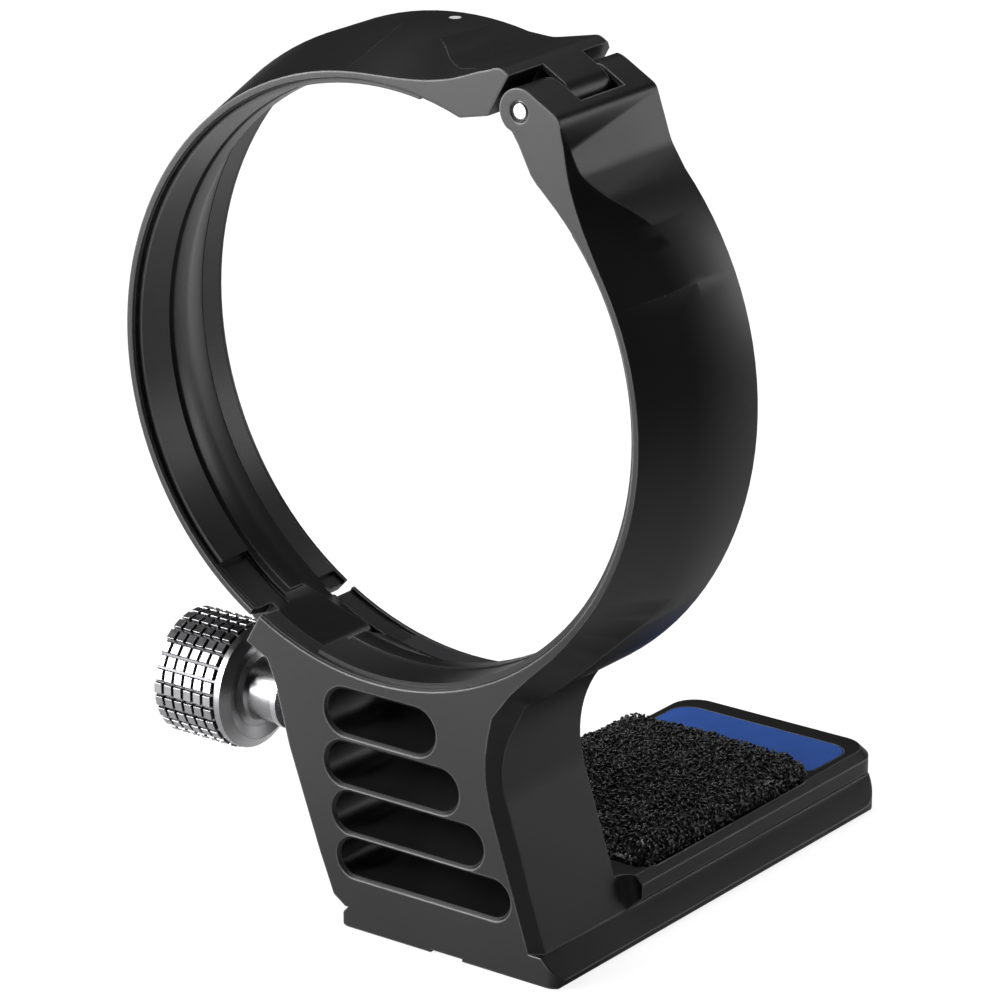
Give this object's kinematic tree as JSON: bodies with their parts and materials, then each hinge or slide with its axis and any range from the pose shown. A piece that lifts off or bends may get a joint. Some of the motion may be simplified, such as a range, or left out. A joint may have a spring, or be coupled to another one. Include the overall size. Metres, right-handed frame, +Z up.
{
  "type": "lens tripod collar",
  "caption": "Hinged lens collar with a slotted stem on a long dovetail foot, closed by a side screw with a knurled knob.",
  "frame": {"origin": "mouth of the tripod thread, in the middle of the foot's underside", "axes": "+Z up from the foot through the ring, +Y along the foot from the ring's front face, +X right seen from the front"},
  "size_m": [0.0938, 0.083, 0.1267],
  "materials": {
    "black_anodised": "fine satin black anodised",
    "bright_knob": "bright turned",
    "steel": "polished",
    "liner": "matt",
    "pad": "looped pile",
    "label": "satin blue",
    "dot_paint": "matt white"
  },
  "bodies": {
    "foot": {"foot_body": "black_anodised", "hinge_pin": "steel", "liner_front_foot": "liner", "liner_rear_foot": "liner", "thread_insert": "steel", "grip_pad": "pad", "label_plate": "label", "stop_screws": "steel"},
    "arm": {"clamp_arm": "black_anodised", "liner_front_arm": "liner", "liner_rear_arm": "liner", "index_dot": "dot_paint"},
    "screw_carrier": {"thrust_washer": "steel"},
    "screw": {"clamp_knob": "bright_knob", "clamp_stud": "steel"}
  },
  "joints": [
    {"name": "arm_hinge", "type": "hinge", "parent": "foot", "child": "arm", "pos_m": [0.0122, -0.0415, 0.12151], "axis": [0, 1, 0], "range_deg": [0, 85]},
    {"name": "screw_travel", "type": "slide", "parent": "arm", "child": "screw_carrier", "axis": [1, 0, 0], "range_m": [0, 0.00421]},
    {"name": "knob_turn", "type": "hinge", "parent": "screw_carrier", "child": "screw", "pos_m": [-0.045, -0.0305, 0.0267], "axis": [1, 0, 0], "range_deg": [0, 2160]}
  ],
  "couplings": [
    {"joint": "screw_travel", "follows": "knob_turn", "m_per_rad": 0.00011141}
  ]
}
